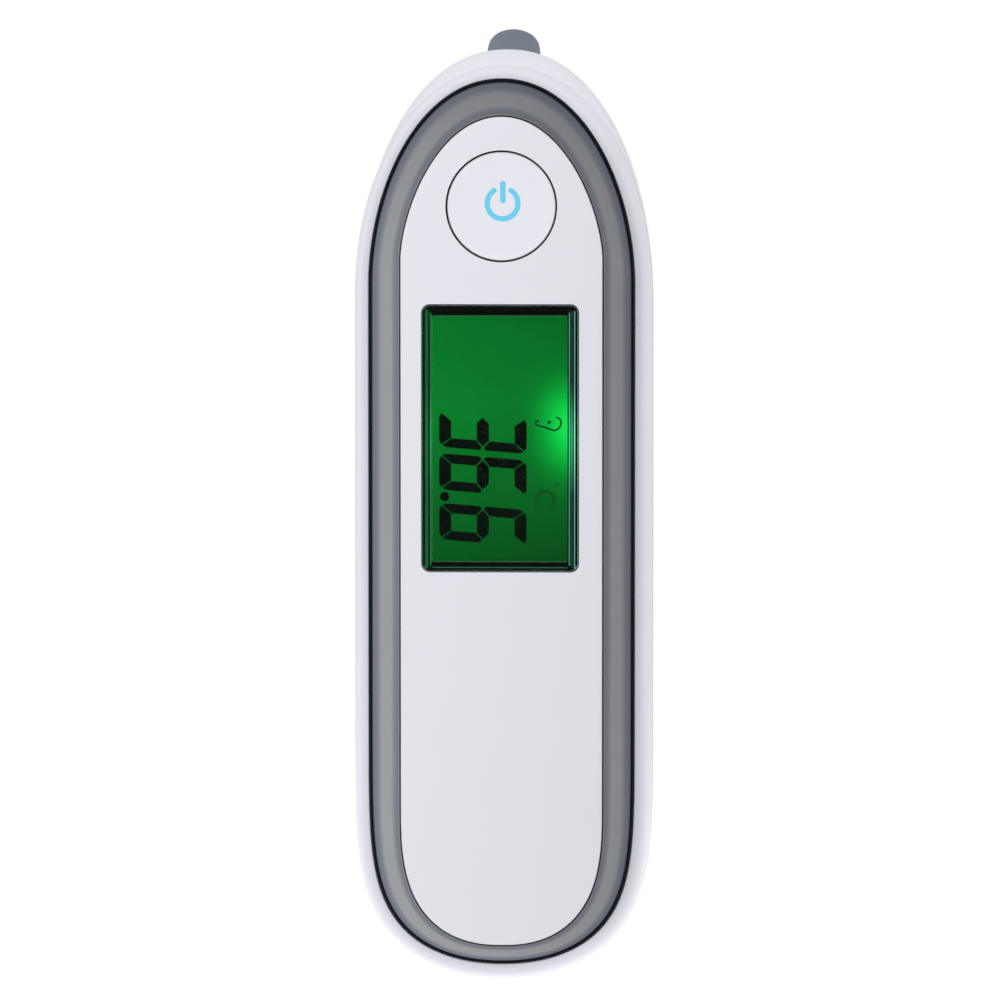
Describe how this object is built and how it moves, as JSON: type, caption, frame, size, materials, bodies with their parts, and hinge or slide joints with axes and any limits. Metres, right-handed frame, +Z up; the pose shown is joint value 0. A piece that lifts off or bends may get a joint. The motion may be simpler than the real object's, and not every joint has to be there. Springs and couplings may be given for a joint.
{
  "type": "digital ear thermometer",
  "caption": "Handheld infrared ear thermometer: long rounded casing, lit display, round power button, angled ear probe and sliding battery door.",
  "frame": {"origin": "the middle of the handle, where a hand holds it", "axes": "+Z up the handle towards the probe, -Y out of the display's face, +X to the right seen from the front"},
  "size_m": [0.0458, 0.0453, 0.147],
  "materials": {
    "white_shell": "satin gloss moulded white",
    "white_panel": "satin gloss moulded white",
    "grey_ring": "satin grey metallic paint",
    "probe_grey": "fine satin",
    "clear_window": "clear polished acrylic",
    "lcd": "backlit green liquid crystal display",
    "diffuser": "frosted",
    "inner_plastic": "moulded",
    "black_rubber": "matt",
    "board": "solder mask",
    "chip_black": "moulded",
    "steel": "nickel plated",
    "gold": "gold plated",
    "cell_wrap": "printed plastic film",
    "sensor_window": "coated infrared filter",
    "wire_red": "smooth insulation"
  },
  "bodies": {
    "housing": {"backlight_led": "diffuser", "battery_1": "cell_wrap", "battery_2": "cell_wrap", "battery_lead_minus": "wire_red", "battery_lead_plus": "wire_red", "battery_tray": "inner_plastic", "buzzer": "chip_black", "cable_connector": "inner_plastic", "case_screw_1": "steel", "case_screw_2": "steel", "contact_bridge": "steel", "contact_plate_minus": "steel", "contact_plate_plus": "steel", "contact_spring_1": "steel", "contact_spring_2": "steel", "crystal": "steel", "ear_probe": "probe_grey", "filter_capacitor": "chip_black", "front_housing": "white_shell", "front_panel": "white_panel", "lcd_gasket": "black_rubber", "lcd_glass": "lcd", "light_guide": "diffuser", "main_pcb": "board", "mcu_chip": "chip_black", "pcb_screw_1": "steel", "pcb_screw_2": "steel", "pcb_screw_3": "steel", "pcb_screw_4": "steel", "probe_seal": "black_rubber", "probe_window": "sensor_window", "rear_housing": "white_shell", "sensor_cable": "wire_red", "sensor_holder": "inner_plastic", "tact_switch": "chip_black", "thermopile_sensor": "steel", "trim_ring": "grey_ring", "waveguide": "gold", "window_lens": "clear_window", "zebra_strip": "black_rubber"},
    "power_button": {"power_button": "white_panel"},
    "switch_plunger": {"switch_plunger": "inner_plastic"},
    "battery_door": {"battery_door": "white_shell"}
  },
  "joints": [
    {"name": "power_button_press", "type": "slide", "parent": "housing", "child": "power_button", "axis": [0, 1, 0], "range_m": [0, 0.0006], "stiffness_N_per_m": 1500},
    {"name": "switch_plunger_press", "type": "slide", "parent": "housing", "child": "switch_plunger", "axis": [0, 1, 0], "range_m": [0, 0.0006]},
    {"name": "battery_door_slide", "type": "slide", "parent": "housing", "child": "battery_door", "axis": [0, 0, -1], "range_m": [0, 0.06]}
  ],
  "couplings": [
    {"joint": "switch_plunger_press", "follows": "power_button_press", "ratio": 1}
  ]
}
